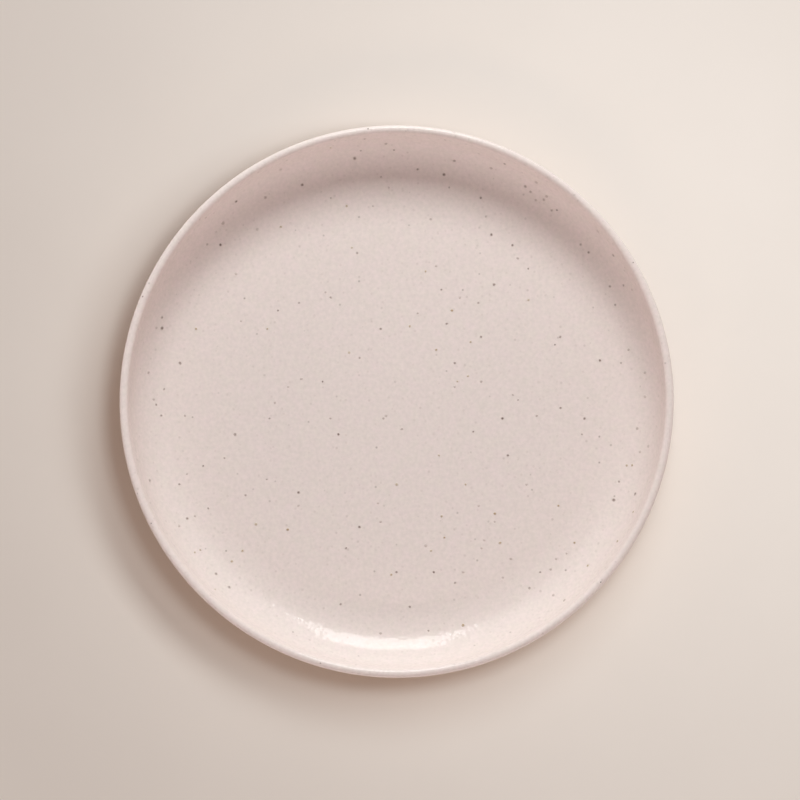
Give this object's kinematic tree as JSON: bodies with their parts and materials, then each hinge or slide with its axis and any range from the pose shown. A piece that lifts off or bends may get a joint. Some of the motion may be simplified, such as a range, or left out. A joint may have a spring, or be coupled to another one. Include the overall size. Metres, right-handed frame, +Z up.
{
  "type": "salad plate",
  "caption": "Round coupe salad plate in speckled stoneware: flat floor, wall turned up to a thin round rim, satin glaze over the clay, bare foot ring.",
  "frame": {"origin": "middle of the foot ring's resting face", "axes": "+Z up along the plate's axis of turning, out of the well; X and Y lie in the resting face"},
  "size_m": [0.21, 0.21, 0.025],
  "materials": {
    "stoneware": "bare fired clay, matt and slightly gritty",
    "blush_glaze": "satin gloss glaze, pale blush",
    "dark_grain": "dark brown iron grain under a thin film of glaze",
    "rust_grain": "tan iron grain under a thin film of glaze"
  },
  "bodies": {
    "root": {"stoneware_body": "stoneware", "glaze_coat": "blush_glaze", "base_glaze": "blush_glaze", "dark_specks": "dark_grain", "rust_specks": "rust_grain"}
  },
  "joints": []
}
